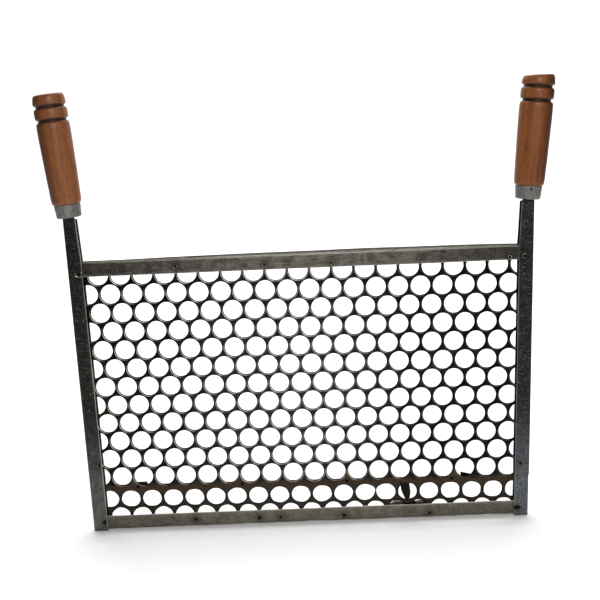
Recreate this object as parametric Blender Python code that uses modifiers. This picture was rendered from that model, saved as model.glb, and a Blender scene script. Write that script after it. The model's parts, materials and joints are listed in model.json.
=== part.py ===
"""Barbecue grate with two wooden handles, as Blender objects.

A thin sheet punched with round holes, and a short strip of the same sheet lapped behind its
lower edge, stand in a frame of folded steel channels and are spot welded to it. The two side
channels run on above the frame and are driven into turned wooden handles, each with a metal
ferrule and a tack.

The grate stands upright: +X is to the right, +Y is away from the viewer, +Z is up. The origin
is on the ground under the middle of the frame. Everything is in metres.
"""

import math

import bmesh
import bpy
from mathutils import Matrix, Vector

MM = 0.001

# Driving dimensions
PITCH = 22.0 * MM  # between the centres of neighbouring holes
HOLE_RADIUS = 9.6 * MM
SHEET = 0.9 * MM  # thickness of the punched sheet
WALL = 0.8 * MM  # thickness of the folded channels
GAP = 0.3 * MM  # left between pieces that touch
BASE_HALF_WIDTH = 225.0 * MM  # outer face of a side bar at the ground
BAR_LEAN = math.radians(1.0)  # each side bar leans outward by this
HANDLE_LEAN = math.radians(5.3)  # and each handle by this
PANEL_TOP = 280.2 * MM  # middle of the top rail's fold
RAIL_FOOT = 1.9 * MM  # middle of the bottom rail's fold
RAIL_HEIGHT = 13.8 * MM
RAIL_HALF_DEPTH = 3.2 * MM  # to the middle of the wall
RAIL_BACK_RISE = 1.0 * MM  # the top rail's fold is higher at the back than in front
RAIL_BOW = 2.4 * MM  # and its back edge is bowed up by this much more
BAR_HALF_DEPTH = RAIL_HALF_DEPTH + WALL + GAP
BAR_FOOT_WIDTH = 15.0 * MM
BAR_TOP_WIDTH = 14.4 * MM  # beside the top rail
NECK_WIDTH = 12.5 * MM  # just under the handle
FERRULE_FOOT = 325.5 * MM  # height at which the handle begins

# Front planes, from the front inward along Y
BAR_FRONT = -BAR_HALF_DEPTH - WALL / 2
RAIL_FRONT = -RAIL_HALF_DEPTH - WALL / 2
SHEET_FRONT = RAIL_FRONT + WALL + GAP
STRIP_FRONT = SHEET_FRONT + SHEET + GAP

# The pattern of holes is turned a little in the frame, because the sheet was cut by hand
PATTERN_TURN = math.radians(-0.65)
PATTERN_CENTRE = Vector((-15.1 * MM, 131.6 * MM))  # x and z of the hole in column 0, row 0
ROW_PITCH = PITCH * math.sqrt(3) / 2
UPPER_ROWS = range(-7, 5)
STRIP_ROWS = range(5, 7)
STRIP_SHIFT = Vector((-3.7 * MM, -5.7 * MM))  # of the strip's holes from the sheet's pattern
WIDEST_COLUMN = 12
SHEET_LOW_ROW = 4.73  # the sheet ends along this line of the pattern
STRIP_HIGH_ROW = 4.50  # and the strip starts here
STRIP_BOTTOM = 3.0 * MM  # height of the strip's lower edge
HOLE_INSET = 8.0 * MM  # a hole's centre is at least this far inside the sheet's side edge

HOLE_SIDES = 8
DRUM_SIDES = 10
FOLD_RADIUS = 1.2 * MM
FOLD_STEPS = 2
TURNED_STEPS = 20

# Spot welds
SPOT_RADIUS = 1.3 * MM
CORNER_SPOT_RADIUS = 2.0 * MM
SPOT_PROUD = 0.2 * MM
TOP_SPOTS = [(column, -7.35) for column in (-5, -1, 2, 6, 10)]
BOTTOM_SPOTS = [(column, 6.54) for column in (-4.67, -1.67, -0.67, 2.33, 6.33)]
SEAM_SPOTS = [(column, 4.61) for column in (-7.3, -2.4, 2.5, 7.4)]
BAR_SPOT_ROWS = {"left": (-4.68, -0.62, 3.33), "right": (-4.16, -0.27, 3.81)}
BAR_SPOT_INSET = {"left": 12.0 * MM, "right": 9.6 * MM}
CORNERS = {  # distance in from the bar's outer face, and height
    "top_left": (10.8 * MM, 269.0 * MM),
    "top_right": (8.6 * MM, 270.0 * MM),
    "bottom_left": (11.8 * MM, 9.4 * MM),
    "bottom_right": (12.0 * MM, 8.4 * MM),
}

# Handles, measured along their own axis from the ferrule's foot
FERRULE_LENGTH = 12.8 * MM
FERRULE_WALL = 0.6 * MM
FERRULE_FOOT_RADIUS = 12.0 * MM
FERRULE_TOP_RADIUS = 13.0 * MM
FERRULE_MOUTH_RADIUS = 9.0 * MM
BORE_RADIUS = 8.2 * MM
BORE_DEPTH = 62.0 * MM
TACK_HEIGHT = 10.0 * MM
TACK_RADIUS = 0.8 * MM
TACK_HEAD_RADIUS = 1.5 * MM
TACK_LENGTH = 3.6 * MM

SIDES = {"left": -1, "right": 1}
TACK_FACING = {"left": 1, "right": -1}  # along Y: at the back on the left, in front on the right


# Helpers -------------------------------------------------------------------------------------


def clear_scene():
    for old in list(bpy.data.objects):
        bpy.data.objects.remove(old)


def collection(name, hidden=False):
    made = bpy.data.collections.new(name)
    bpy.context.scene.collection.children.link(made)
    made.hide_render = hidden
    return made


def material(name, colour, roughness, metallic):
    made = bpy.data.materials.new(name)
    made.use_nodes = True
    shader = made.node_tree.nodes["Principled BSDF"]
    shader.inputs["Base Color"].default_value = (*colour, 1.0)
    shader.inputs["Roughness"].default_value = roughness
    shader.inputs["Metallic"].default_value = metallic
    return made


def add_object(name, mesh, home, finish=None):
    mesh.name = name
    made = bpy.data.objects.new(name, mesh)
    home.objects.link(made)
    if finish:
        mesh.materials.append(finish)
    return made


def mesh_of(builder):
    """A new mesh holding what builder(bm) makes, with its faces pointing outward."""
    bm = bmesh.new()
    builder(bm)
    bmesh.ops.recalc_face_normals(bm, faces=bm.faces)
    mesh = bpy.data.meshes.new("shape")
    bm.to_mesh(mesh)
    bm.free()
    return mesh


def add_drum(bm, centre, radius, y_from, y_to, sides=DRUM_SIDES):
    """A cylinder lying along Y, with its axis at the x and z of centre."""
    middle = Vector((centre[0], (y_from + y_to) / 2, centre[1]))
    lying = Matrix.Rotation(math.radians(90), 4, "X")
    bmesh.ops.create_cone(
        bm,
        cap_ends=True,
        segments=sides,
        radius1=radius,
        radius2=radius,
        depth=abs(y_to - y_from),
        matrix=Matrix.Translation(middle) @ lying,
    )


def drums(places, radius, y_from, y_to, sides=DRUM_SIDES):
    """A mesh with one drum at each place."""

    def shape(bm):
        for place in places:
            add_drum(bm, place, radius, y_from, y_to, sides)

    return mesh_of(shape)


def cut(target, cutter_mesh, name, where=None):
    """Takes the cutter away from the target with a Boolean."""
    cutter = add_object(name, cutter_mesh, cutters)
    cutter.hide_render = True
    cutter.display_type = "WIRE"
    if where:
        cutter.matrix_world = where
    boolean = target.modifiers.new(name, "BOOLEAN")
    boolean.operation = "DIFFERENCE"
    boolean.solver = "EXACT"
    boolean.object = cutter


def half_width(z):
    """Distance from the middle of the frame to a side bar's outer face, at height z."""
    return BASE_HALF_WIDTH + z * math.tan(BAR_LEAN)


def pattern_point(column, row, shift=(0, 0)):
    """x and z of a place in the hole pattern, counted in pitches right and in rows down."""
    flat = Vector((column * PITCH, -row * ROW_PITCH)) + Vector(shift)
    return PATTERN_CENTRE + Matrix.Rotation(PATTERN_TURN, 2) @ flat


def pattern_height(row, x):
    """Height at which the line of a row crosses x."""
    start = pattern_point(0, row)
    return start.y + (x - start.x) * math.tan(PATTERN_TURN)


# Punched sheets ------------------------------------------------------------------------------


def sheet_edge(z):
    """Distance from the middle of the frame to the side edge of a sheet."""
    return half_width(z) - 2 * WALL


def hole_centres(rows, shift):
    found = []
    for row in rows:
        for step in range(-WIDEST_COLUMN, WIDEST_COLUMN + 1):
            centre = pattern_point(step + 0.5 * (row % 2), row, shift)
            if abs(centre.x) + HOLE_INSET < sheet_edge(centre.y):
                found.append(centre)
    return found


def blank(corners, front):
    """A flat plate as thick as the sheet, from the x and z of its four corners."""

    def shape(bm):
        face = bm.faces.new([bm.verts.new((x, front, z)) for x, z in corners])
        grown = bmesh.ops.extrude_face_region(bm, geom=[face])["geom"]
        back = [part for part in grown if isinstance(part, bmesh.types.BMVert)]
        bmesh.ops.translate(bm, vec=(0, SHEET, 0), verts=back)

    return mesh_of(shape)


def punched_sheet(name, corners, front, rows, shift):
    sheet = add_object(name, blank(corners, front), grate, punched_steel)
    # A polygon with the area of the round hole
    widened = math.pi / (HOLE_SIDES / 2 * math.sin(2 * math.pi / HOLE_SIDES))
    radius = HOLE_RADIUS * math.sqrt(widened)
    reach = (front - SHEET, front + 2 * SHEET)
    punches = drums(hole_centres(rows, shift), radius, *reach, sides=HOLE_SIDES)
    cut(sheet, punches, name + "_punches")
    return sheet


def edge_points(height_at):
    """The left and right ends of a sheet's edge, whose height follows height_at(x)."""
    ends = []
    for side in SIDES.values():
        z = height_at(side * BASE_HALF_WIDTH)
        ends.append((side * sheet_edge(z), z))
    return ends


def upper_corners():
    low_left, low_right = edge_points(lambda x: pattern_height(SHEET_LOW_ROW, x))
    high_left, high_right = edge_points(lambda x: PANEL_TOP - 1.5 * WALL)
    return [low_left, low_right, high_right, high_left]


def strip_corners():
    low_left, low_right = edge_points(lambda x: STRIP_BOTTOM)
    high_left, high_right = edge_points(lambda x: pattern_height(STRIP_HIGH_ROW, x))
    return [low_left, low_right, high_right, high_left]


# Folded channels -----------------------------------------------------------------------------


def rounded(points):
    """The line through the points, with an arc in place of each inner corner."""
    points = [Vector(point) for point in points]
    line = [points[0]]
    for before, corner, after in zip(points, points[1:], points[2:]):
        back = (before - corner).normalized()
        on = (after - corner).normalized()
        opening = back.angle(on)
        centre = corner + (back + on).normalized() * FOLD_RADIUS / math.sin(opening / 2)
        spoke = corner + back * FOLD_RADIUS / math.tan(opening / 2) - centre
        axis = on.cross(back).normalized()
        for step in range(FOLD_STEPS + 1):
            swing = Matrix.Rotation((math.pi - opening) * step / FOLD_STEPS, 3, axis)
            line.append(centre + swing @ spoke)
    line.append(points[-1])
    return line


def folded(name, sections):
    """A channel folded from sheet: a surface through the sections, given thickness."""

    def surface(bm):
        rows = [[bm.verts.new(point) for point in rounded(section)] for section in sections]
        for low, high in zip(rows, rows[1:]):
            for a, b, c, d in zip(low, low[1:], high[1:], high):
                bm.faces.new((a, b, c, d))

    channel = add_object(name, mesh_of(surface), grate, folded_steel)
    shell = channel.modifiers.new("wall", "SOLIDIFY")
    shell.thickness = WALL
    shell.offset = 0
    shell.use_even_offset = True
    return channel


def rail_sections(fold_z, up, back_rise, bow):
    """Sections of a rail along X. up is 1 where the fold is above the lips, and -1 below."""
    reach = half_width(fold_z) - 3 * WALL
    lip_z = fold_z - up * RAIL_HEIGHT
    stations = 9 if bow else 2
    sections = []
    for station in range(stations):
        along = 2 * station / (stations - 1) - 1
        rise = back_rise + bow * (1 - along**2) * (1 + 0.6 * along)
        sections.append(
            [
                (along * reach, -RAIL_HALF_DEPTH, lip_z),
                (along * reach, -RAIL_HALF_DEPTH, fold_z),
                (along * reach, RAIL_HALF_DEPTH, fold_z + rise),
                (along * reach, RAIL_HALF_DEPTH, lip_z),
            ]
        )
    return sections


def neck():
    """Height of the side bar's neck, where the tang begins, and x of its middle."""
    z = FERRULE_FOOT - 1.5 * MM
    return z, half_width(z) - NECK_WIDTH / 2


def bar_stations():
    """Height, x of the middle, front width, back width and half depth, from the foot up."""
    stations = []
    for z, width in ((0.0, BAR_FOOT_WIDTH), (PANEL_TOP, BAR_TOP_WIDTH)):
        stations.append((z, half_width(z) - width / 2, width, width, BAR_HALF_DEPTH))
    # The back lip stops just short of the ferrule
    neck_z, neck_x = neck()
    short = NECK_WIDTH / 2
    stations.append((neck_z - 0.3 * MM, neck_x, NECK_WIDTH, NECK_WIDTH, BAR_HALF_DEPTH))
    stations.append((neck_z, neck_x, NECK_WIDTH, short, BAR_HALF_DEPTH))
    # The tang follows the handle's axis and narrows into its bore
    for run, width, half_depth in ((5, 10.0, 3.8), (12, 8.6, 3.2), (46, 7.4, 3.0), (56, 5.0, 2.6)):
        along = run * MM
        x = neck_x + along * math.tan(HANDLE_LEAN)
        wide = width * MM
        stations.append((neck_z + along, x, wide, wide / 2, half_depth * MM))
    return stations


def bar_sections(side):
    """Sections of a side bar, a channel that opens towards the middle of the frame."""
    sections = []
    for z, x, front_width, back_width, half_depth in bar_stations():
        outer = x + front_width / 2
        fold_x = side * (outer - WALL / 2)
        sections.append(
            [
                (side * (outer - front_width), -half_depth, z),
                (fold_x, -half_depth, z),
                (fold_x, half_depth, z),
                (side * (outer - back_width), half_depth, z),
            ]
        )
    return sections


# Spot welds ----------------------------------------------------------------------------------


def bar_spots(side_name):
    """On a side bar's front lip, where there is metal behind it."""
    spots = []
    side = SIDES[side_name]
    for row in BAR_SPOT_ROWS[side_name]:
        z = pattern_height(row, side * BASE_HALF_WIDTH)
        spots.append(Vector((side * (half_width(z) - BAR_SPOT_INSET[side_name]), z)))
    return spots


def corner_spot(corner):
    inset, z = CORNERS[corner]
    side = SIDES[corner.split("_")[1]]
    return Vector((side * (half_width(z) - inset), z))


def spot_welds(name, places, pieces, front, back, radius=SPOT_RADIUS):
    """Welds as short plugs through the pieces, each in a bore that clears it by the gap."""
    for number, place in enumerate(places, start=1):
        plug = drums([place], radius, front - SPOT_PROUD, back)
        add_object(f"{name}_{number}" if len(places) > 1 else name, plug, grate, weld_metal)
    for piece in pieces:
        bores = drums(places, radius + GAP, front - 2 * WALL, RAIL_HALF_DEPTH - WALL)
        cut(piece, bores, f"{name}_{piece.name}_bores")


# Handles -------------------------------------------------------------------------------------


def ferrule_radius(height):
    """Radius of the ferrule's outside, at a height above its foot."""
    share = height / FERRULE_LENGTH
    return FERRULE_FOOT_RADIUS + share * (FERRULE_TOP_RADIUS - FERRULE_FOOT_RADIUS)


def handle_profile():
    """Radius and height down the outside of the wood, then up inside its bore."""
    outside = [
        (0.0, 120.6),  # cap
        (7.0, 120.2),
        (11.6, 119.2),
        (14.3, 117.2),
        (15.5, 114.4),
        (15.8, 110.4),
        (15.2, 108.8),
        (13.9, 107.6),  # upper groove
        (15.2, 106.2),
        (15.9, 104.6),  # bead
        (15.8, 97.0),
        (15.2, 95.6),
        (13.9, 94.4),  # lower groove
        (15.2, 92.9),
        (16.0, 90.4),  # grip
        (16.1, 84.0),
        (15.7, 62.0),
        (15.1, 36.0),
        (14.6, 18.0),
        (14.2, 15.4),
        (13.0, 13.2),
    ]
    tenon_top = FERRULE_LENGTH + GAP
    tenon_foot = FERRULE_WALL + GAP
    inset = FERRULE_WALL + GAP
    tenon = [
        (ferrule_radius(tenon_top) - inset, tenon_top),
        (ferrule_radius(tenon_foot) - inset, tenon_foot),
        (BORE_RADIUS, tenon_foot),
        (BORE_RADIUS, BORE_DEPTH),
        (0.0, BORE_DEPTH + 3 * MM),
    ]
    return [(radius * MM, height * MM) for radius, height in outside] + tenon


def ferrule_profile():
    """A thin cup with a hole in its floor: down the outside, then up the inside."""
    inner_foot = ferrule_radius(FERRULE_WALL) - FERRULE_WALL
    return [
        (FERRULE_TOP_RADIUS, FERRULE_LENGTH),
        (ferrule_radius(1.4 * MM), 1.4 * MM),
        (FERRULE_FOOT_RADIUS - 0.4 * MM, 0.4 * MM),
        (FERRULE_FOOT_RADIUS - 1.4 * MM, 0.0),
        (FERRULE_MOUTH_RADIUS, 0.0),
        (FERRULE_MOUTH_RADIUS, FERRULE_WALL),
        (inner_foot, FERRULE_WALL),
        (FERRULE_TOP_RADIUS - FERRULE_WALL, FERRULE_LENGTH),
    ]


def tack_profile():
    """A low round head and a plain shank, along Z."""
    return [
        (0.0, 0.7 * MM),
        (0.7 * TACK_HEAD_RADIUS, 0.5 * MM),
        (TACK_HEAD_RADIUS, 0.0),
        (TACK_RADIUS, 0.0),
        (TACK_RADIUS, 0.4 * MM - TACK_LENGTH),
        (0.0, -TACK_LENGTH),
    ]


def turned(name, profile, finish, where, closed=False, steps=TURNED_STEPS):
    """A profile of radius and height, turned round Z and placed by the matrix where."""
    mesh = bpy.data.meshes.new(name)
    edges = [(i, i + 1) for i in range(len(profile) - 1)]
    if closed:
        edges.append((len(profile) - 1, 0))
    mesh.from_pydata([(radius, 0, height) for radius, height in profile], edges, [])
    made = add_object(name, mesh, grate, finish)
    made.matrix_world = where
    screw = made.modifiers.new("turn", "SCREW")
    screw.steps = steps
    screw.render_steps = steps
    screw.use_merge_vertices = True
    screw.merge_threshold = 0.00005
    return made


def handle_frame(side):
    """Place and lean of a handle, whose foot is on the end of the side bar."""
    neck_z, neck_x = neck()
    foot = neck_x + (FERRULE_FOOT - neck_z) * math.tan(HANDLE_LEAN)
    lean = Matrix.Rotation(side * HANDLE_LEAN, 4, "Y")
    return Matrix.Translation((side * foot, 0, FERRULE_FOOT)) @ lean


def handle(side_name):
    """A wooden handle, its ferrule, and the tack that holds them together."""
    where = handle_frame(SIDES[side_name])
    facing = TACK_FACING[side_name]
    wood = turned(side_name + "_handle", handle_profile(), handle_wood, where)
    ferrule = turned(side_name + "_ferrule", ferrule_profile(), ferrule_zinc, where, closed=True)

    face = ferrule_radius(TACK_HEIGHT) + GAP
    outward = Matrix.Rotation(math.radians(-90 * facing), 4, "X")
    nailed = where @ Matrix.Translation((0, facing * face, TACK_HEIGHT)) @ outward
    turned(side_name + "_tack", tack_profile(), tack_steel, nailed, steps=DRUM_SIDES)
    for piece in (wood, ferrule):
        reach = (facing * (face - TACK_LENGTH - GAP), facing * 2 * face)
        bore = drums([(0.0, TACK_HEIGHT)], TACK_RADIUS + GAP, *reach, sides=8)
        cut(piece, bore, piece.name + "_tack_bore", where)


# The grate -----------------------------------------------------------------------------------

clear_scene()
grate = collection("barbecue_grate")
cutters = collection("cutters", hidden=True)

punched_steel = material("punched_steel", (0.045, 0.043, 0.040), 0.45, 1.0)
folded_steel = material("folded_steel", (0.085, 0.088, 0.088), 0.40, 1.0)
weld_metal = material("weld_metal", (0.16, 0.15, 0.14), 0.50, 1.0)
ferrule_zinc = material("ferrule_zinc", (0.20, 0.21, 0.21), 0.55, 1.0)
handle_wood = material("handle_wood", (0.25, 0.09, 0.035), 0.50, 0.0)
tack_steel = material("tack_steel", (0.50, 0.50, 0.48), 0.35, 1.0)

upper_sheet = punched_sheet("upper_sheet", upper_corners(), SHEET_FRONT, UPPER_ROWS, (0, 0))
lower_strip = punched_sheet("lower_strip", strip_corners(), STRIP_FRONT, STRIP_ROWS, STRIP_SHIFT)
top_rail = folded("top_rail", rail_sections(PANEL_TOP, 1, RAIL_BACK_RISE, RAIL_BOW))
bottom_rail = folded("bottom_rail", rail_sections(RAIL_FOOT, -1, 0, 0))
rails = {"top": top_rail, "bottom": bottom_rail}
bars = {name: folded(name + "_side_bar", bar_sections(side)) for name, side in SIDES.items()}

sheet_back = SHEET_FRONT + SHEET
strip_back = STRIP_FRONT + SHEET
top_spots = [pattern_point(*spot) for spot in TOP_SPOTS]
bottom_spots = [pattern_point(*spot) for spot in BOTTOM_SPOTS]
seam_spots = [pattern_point(*spot) for spot in SEAM_SPOTS]
spot_welds("top_rail_weld", top_spots, (top_rail, upper_sheet), RAIL_FRONT, sheet_back)
spot_welds("bottom_rail_weld", bottom_spots, (bottom_rail, lower_strip), RAIL_FRONT, strip_back)
spot_welds("seam_weld", seam_spots, (upper_sheet, lower_strip), SHEET_FRONT, strip_back)
for name, bar in bars.items():
    spots = bar_spots(name)
    spot_welds(name + "_bar_weld", spots, (bar, upper_sheet), BAR_FRONT, sheet_back)
for corner in CORNERS:
    end, side_name = corner.split("_")
    joined = (bars[side_name], rails[end])
    rail_inside = RAIL_FRONT + WALL
    places = [corner_spot(corner)]
    spot_welds(corner + "_weld", places, joined, BAR_FRONT, rail_inside, CORNER_SPOT_RADIUS)

for side_name in SIDES:
    handle(side_name)
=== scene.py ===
# %% [markdown]
# # A barbecue grate with two wooden handles
#
# The real thing is made in a small workshop: a sheet of scrap steel, left over from punching round
# blanks, is spot welded into four folded channels, and the two side channels are driven into turned
# handles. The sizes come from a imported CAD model, which this script loads first. Every visible piece
# is then built again, finer, around that fixed frame, and gets the finish of its real material.

import bpy
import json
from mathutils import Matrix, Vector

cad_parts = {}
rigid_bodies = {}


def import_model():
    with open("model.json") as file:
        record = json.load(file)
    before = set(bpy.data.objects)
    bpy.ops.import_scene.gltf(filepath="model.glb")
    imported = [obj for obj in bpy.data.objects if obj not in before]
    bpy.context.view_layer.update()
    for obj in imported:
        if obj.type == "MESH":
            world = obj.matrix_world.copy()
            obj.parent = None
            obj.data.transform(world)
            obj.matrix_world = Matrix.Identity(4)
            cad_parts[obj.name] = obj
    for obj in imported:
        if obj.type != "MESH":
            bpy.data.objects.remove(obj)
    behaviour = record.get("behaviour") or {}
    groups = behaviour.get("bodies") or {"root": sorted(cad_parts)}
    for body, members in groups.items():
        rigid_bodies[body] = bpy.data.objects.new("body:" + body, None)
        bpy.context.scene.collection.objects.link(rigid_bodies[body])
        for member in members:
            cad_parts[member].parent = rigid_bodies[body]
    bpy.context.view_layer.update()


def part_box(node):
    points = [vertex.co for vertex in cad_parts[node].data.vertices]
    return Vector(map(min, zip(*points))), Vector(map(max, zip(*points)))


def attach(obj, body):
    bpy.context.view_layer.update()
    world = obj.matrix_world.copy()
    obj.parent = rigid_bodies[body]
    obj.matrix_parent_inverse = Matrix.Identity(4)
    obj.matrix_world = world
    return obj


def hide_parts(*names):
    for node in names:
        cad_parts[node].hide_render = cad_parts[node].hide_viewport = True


for leftover in list(bpy.data.objects):
    bpy.data.objects.remove(leftover)
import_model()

# %% [markdown]
# ## Units and small tools
#
# Blender counts in metres and a workshop counts in millimetres, so sizes here are written as so many
# mm. Colours are written as the hex values of a paint chart, which are sRGB, and Blender's shaders
# want linear light, so one function converts them. A second function adds a shader node, with its
# settings and its links in one call, because a material is easier to read as a list of such calls.
# The rest are the few steps that every piece goes through.

# %% Units, colour and shader nodes
import json
import math

import bmesh
from mathutils import Matrix, Vector, noise

mm = 0.001


def linear(hex_colour):
    """The linear RGBA of an sRGB colour such as "#8a5535"."""
    shares = [int(hex_colour[i : i + 2], 16) / 255 for i in (1, 3, 5)]
    lin = [s / 12.92 if s <= 0.04045 else ((s + 0.055) / 1.055) ** 2.4 for s in shares]
    return (*lin, 1.0)


def feed(tree, node, inputs):
    """Gives a node its inputs. Each has a name or number, and is a value or another node's socket."""
    for socket, value in inputs.items():
        if isinstance(value, bpy.types.NodeSocket):
            tree.links.new(value, node.inputs[socket])
        else:
            node.inputs[socket].default_value = value


def add(tree, kind, inputs=None, **settings):
    """Adds a shader node with its settings and inputs."""
    node = tree.nodes.new("ShaderNode" + kind)
    for name, value in settings.items():
        setattr(node, name, value)
    feed(tree, node, inputs or {})
    return node


def new_material(name):
    """An empty material with its tree, its Principled shader and its place on the object."""
    material = bpy.data.materials.new(name)
    material.use_nodes = True
    tree = material.node_tree
    shader = tree.nodes["Principled BSDF"]
    where = add(tree, "TexCoord").outputs["Object"]
    return material, tree, shader, where


def finished(piece, material, slot, *stands_for):
    """Gives a piece its material, hangs it on the root body and hides the CAD parts it stands for."""
    piece.data.materials.clear()
    piece.data.materials.append(material)
    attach(piece, "root")
    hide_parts(*stands_for)
    print(f"{piece.name}: {len(piece.data.polygons)} faces, stands for {', '.join(stands_for)}")


def paint(piece, name, value_at):
    """Stores a number at each point of a mesh, which its material can read."""
    layer = piece.data.attributes.new(name, "FLOAT", "POINT")
    layer.data.foreach_set("value", [value_at(point.co) for point in piece.data.vertices])


def new_object(name, data):
    """Puts a mesh, a lamp or a camera into the scene."""
    thing = bpy.data.objects.new(name, data)
    bpy.context.collection.objects.link(thing)
    return thing


def piece_from(bm, name):
    """Puts a bmesh into the scene as a mesh, and frees it."""
    mesh = bpy.data.meshes.new(name)
    bm.to_mesh(mesh)
    bm.free()
    return new_object(name, mesh)


def apply_modifiers(piece):
    """Gives a piece the mesh that its modifiers make of it."""
    graph = bpy.context.evaluated_depsgraph_get()
    solid = bpy.data.meshes.new_from_object(piece.evaluated_get(graph))
    piece.modifiers.clear()
    piece.data = solid


def smooth(piece, sharp):
    """Shades a piece smooth, but for edges that turn by more than sharp, in degrees."""
    piece.data.shade_smooth()
    piece.data.set_sharp_from_angle(angle=math.radians(sharp))


# %% [markdown]
# ## The driving sizes
#
# The frame's pieces are straight, so a box round each CAD node says most of what is needed. Only the
# lean of the side bars and the pattern of the holes can't be read from a box, and they are stated
# here. The rows of holes aren't quite level, because the sheet was cut by hand.

# %% Sizes
pitch = 22 * mm
hole_radius = 9.6 * mm
thickness = 0.9 * mm
wall = 0.8 * mm
base_half_width = 225 * mm
bar_lean = math.radians(1.0)
handle_lean = math.radians(5.3)
pattern_turn = math.radians(-0.65)
pattern_centre = Vector((-15.1 * mm, 131.6 * mm))
row_pitch = pitch * math.sqrt(3) / 2
seam_row = 4.73
strip_top_row = 4.5
sides = {"left": -1, "right": 1}


def centre_of(node):
    low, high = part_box(node)
    return (Vector(low) + Vector(high)) / 2


def half_width(z):
    """Distance from the middle of the frame to a side bar's outer face, at height z."""
    return base_half_width + z * math.tan(bar_lean)


def flat_point(column, row, shift=(0, 0)):
    """x and z of a place in the hole pattern, counted in pitches right and in rows down."""
    flat = Vector((column * pitch, -row * row_pitch)) + Vector(shift)
    return pattern_centre + Matrix.Rotation(pattern_turn, 2) @ flat


def row_line(row):
    """A line along the pattern's rows: its height in the middle of the frame, and its slope."""
    point = flat_point(0, row)
    return point.y - point.x * math.tan(pattern_turn), pattern_turn


def smooth_step(value, start, end):
    """0 before start, 1 after end, and a soft slope between them."""
    share = min(max((value - start) / (end - start), 0), 1)
    return share * share * (3 - 2 * share)


print("the hole in column 0, row 0 is at", [round(v / mm, 1) for v in flat_point(0, 0)], "mm")

# %% [markdown]
# ## The punched sheet
#
# A punch pulls the edge of the sheet down with it before it cuts, so each hole has a bent lip in
# front and a small burr behind. Both catch the light, so they are worth modelling. Cutting over 200
# Booleans would be slow and would leave long thin faces. The pattern helps instead: every hole
# belongs to a hexagon, and the hexagons tile the sheet. One function makes a hexagon with its hole
# from rings of points, and the same function without the hole fills the plain margins. The tiles
# meet exactly, their shared points are merged, and four straight cuts trim the sheet to size.

# %% Hexagonal tiles
tile_points = 36
lip_width = 1.3 * mm
lip_drop = 0.42 * mm
burr = 0.25 * mm
lip_distances = [distance * mm for distance in (1.38, 1.3, 0.85, 0.7, 0.0)]
burr_width = 0.18 * mm
burr_root = 0.55 * mm
angles = [2 * math.pi * i / tile_points for i in range(tile_points)]


def hexagon(angle):
    """Distance from a tile's centre to its border in that direction."""
    from_middle = (angle + math.pi / 6) % (math.pi / 3) - math.pi / 6
    return pitch / 2 / math.cos(from_middle)


def tile_rings(rim, front):
    """Rings of points from the border over the lip, down the hole's wall and back out behind.

    rim is the hole's radius in each direction, and y runs away from the viewer."""
    back = front + thickness
    narrowest = pitch / 2 - hole_radius
    rings = [[(hexagon(angle), front) for angle in angles]]
    for distance in lip_distances:
        ring = []
        for angle, inner in zip(angles, rim):
            room = (hexagon(angle) - inner) / narrowest
            drop = lip_drop * max(1 - distance / lip_width, 0)
            ring.append((inner + distance * min(room, 1), front + drop))
        rings.append(ring)
    rings.append([(inner, back + burr) for inner in rim])
    rings.append([(inner + burr_width, back + burr) for inner in rim])
    rings.append([(inner + burr_root, back) for inner in rim])
    rings.append([(hexagon(angle), back) for angle in angles])
    return rings


def painted_lip_glint(x, z, angle):
    """Painted highlight: how bright a hole's lip is painted, by the hole's place and the direction.

    It stands in for the glint of a lamp up to the right on the lower sides of the lips, and the strip's
    holes, set back below the seam, get none."""
    if z < row_line(seam_row)[0]:
        return 0
    lower_left = max(math.cos(angle - math.radians(222)), 0) ** 3 * (1 - 0.8 * smooth_step(x, 0, 0.15))
    lower_right = max(math.cos(angle - math.radians(312)), 0) ** 3 * math.exp(-(((x + 0.01) / 0.06) ** 2))
    patchy = 0.75 + 0.9 * noise.noise((x * 60, 3 * math.cos(angle), 3 * math.sin(angle) + x * 25))
    return min(max(lower_left, 0.7 * lower_right) * patchy, 1)


def add_tile(bm, centre, rim, front):
    """Adds one tile. rim is None for a tile without a hole."""
    lip_glint, edge = bm.verts.layers.float["lip_glint"], bm.verts.layers.float["edge"]

    def ring_of(points):
        made = []
        for angle, (radius, y) in zip(angles, points):
            x = centre[0] + radius * math.cos(angle)
            z = centre[1] + radius * math.sin(angle)
            made.append(bm.verts.new((x, y, z)))
        return made

    if rim is None:
        border = [(hexagon(angle), front) for angle in angles]
        bm.faces.new(ring_of(border))
        behind = [(radius, front + thickness) for radius, _ in border]
        bm.faces.new(ring_of(behind)[::-1])
        return
    rings = [ring_of(points) for points in tile_rings(rim, front)]
    lip_glint_shares = (0, 0, 1, 1, 0, 0, 0, 0, 0, 0)
    edge_shares = (0, 0, 0, 0, 1, 1, 1, 1, 0, 0)
    for ring, lip_glint_share, edge_share in zip(rings, lip_glint_shares, edge_shares):
        for angle, point in zip(angles, ring):
            # The lip rings are given a painted highlight, standing in for a lamp's glint.
            point[lip_glint] = lip_glint_share * painted_lip_glint(*centre, angle)
            point[edge] = edge_share
    for outer, inner in zip(rings, rings[1:]):
        for i in range(tile_points):
            j = (i + 1) % tile_points
            bm.faces.new((outer[i], outer[j], inner[j], inner[i]))


def trim(bm, point, outward):
    """Cuts off what lies beyond a plane and closes the cut."""
    geometry = bm.verts[:] + bm.edges[:] + bm.faces[:]
    cut = bmesh.ops.bisect_plane(
        bm, geom=geometry, dist=1e-7, plane_co=point, plane_no=outward, clear_outer=True
    )
    edges = [part for part in cut["geom_cut"] if isinstance(part, bmesh.types.BMEdge)]
    bmesh.ops.holes_fill(bm, edges=[edge for edge in edges if edge.is_boundary], sides=0)


# %% [markdown]
# The sheet's pattern and the strip's are the same, but they are out of step, because the strip was
# cut from another piece. Every hole takes its rim from a function, so the two can differ in that too.

# %% A whole sheet from tiles
widest_column = 12
hole_inset = 8 * mm


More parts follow.
